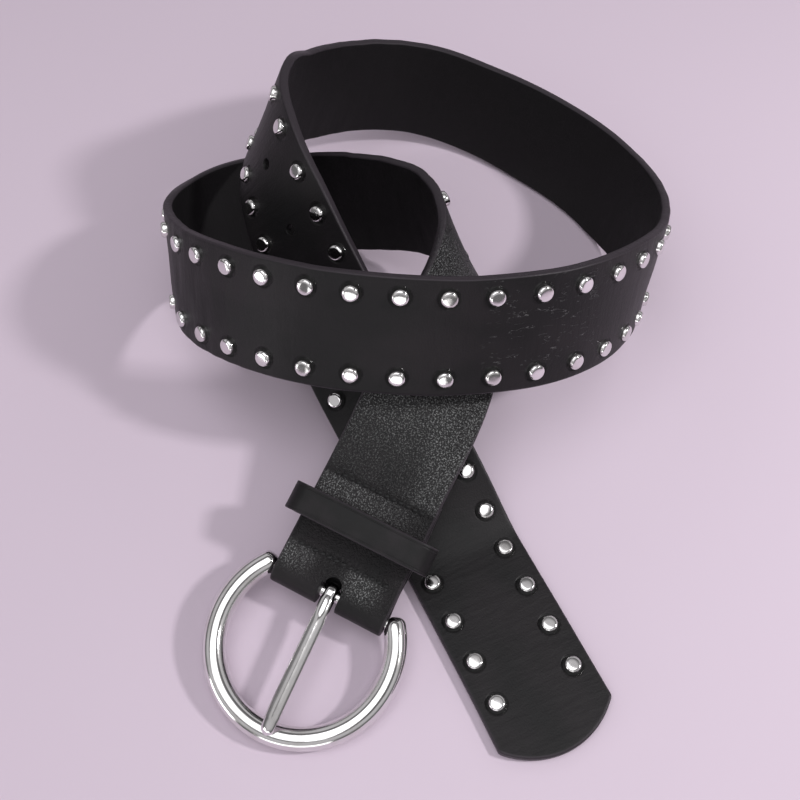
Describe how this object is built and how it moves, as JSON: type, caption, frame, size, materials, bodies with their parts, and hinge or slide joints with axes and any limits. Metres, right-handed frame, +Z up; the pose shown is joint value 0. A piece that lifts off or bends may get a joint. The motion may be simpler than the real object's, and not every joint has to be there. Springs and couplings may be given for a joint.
{
  "type": "studded belt",
  "caption": "Wide leather belt with two rows of domed studs, a round wire buckle with a prong and a leather keeper loop, lying in a double coil.",
  "frame": {"origin": "middle of the coil's extent, on the surface that the belt lies on", "axes": "+Z up, +X to the right of the picture's view and +Y away from it, so the tail and the buckle lie towards -Y"},
  "size_m": [0.1932, 0.2828, 0.0871],
  "materials": {
    "leather": "black coated leather, fine grain, soft sheen",
    "chrome": "bright polished chrome plate"
  },
  "bodies": {
    "belt": {"strap": "leather", "keeper_loop": "leather"},
    "prong": {"prong": "chrome"},
    "ring": {"buckle_ring": "chrome"}
  },
  "joints": [
    {"name": "prong_swing", "type": "hinge", "parent": "belt", "child": "prong", "pos_m": [-0.02973, -0.08911, 0.01185], "axis": [-0.8881, 0.4569, 0.0496], "range_deg": [0, 90]},
    {"name": "ring_swing", "type": "hinge", "parent": "prong", "child": "ring", "pos_m": [-0.02973, -0.08911, 0.01185], "axis": [-0.8881, 0.4569, 0.0496], "range_deg": [-110, 0]}
  ]
}
